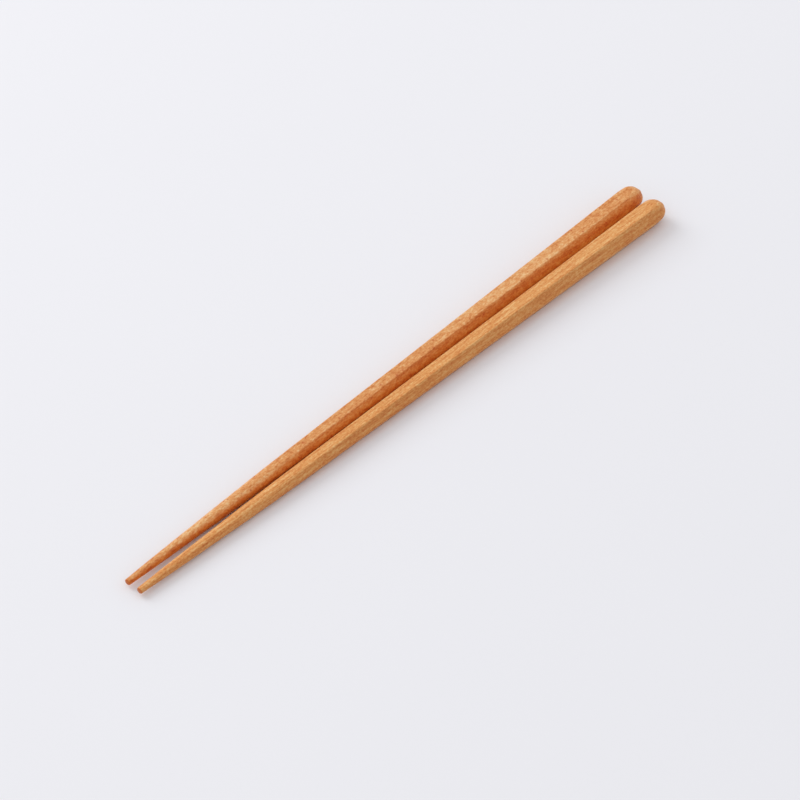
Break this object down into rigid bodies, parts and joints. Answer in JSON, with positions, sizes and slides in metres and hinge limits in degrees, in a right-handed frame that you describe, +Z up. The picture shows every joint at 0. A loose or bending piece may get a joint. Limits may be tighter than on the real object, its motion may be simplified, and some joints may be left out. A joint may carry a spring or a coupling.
{
  "type": "pair of wooden chopsticks",
  "caption": "Tapered wooden chopsticks with hexagonal handles, domed heads and round eating ends, lying side by side on a flat each.",
  "frame": {"origin": "on the table, under the middle of the pair's bounding box", "axes": "+X runs along the pair from the eating ends to the heads, +Y points to the left chopstick, +Z is up"},
  "size_m": [0.23, 0.0182, 0.0079],
  "materials": {
    "mottled_wood": "oiled, satin",
    "straight_grained_wood": "oiled, satin"
  },
  "bodies": {
    "root": {"left_chopstick": "mottled_wood", "right_chopstick": "straight_grained_wood"}
  },
  "joints": []
}
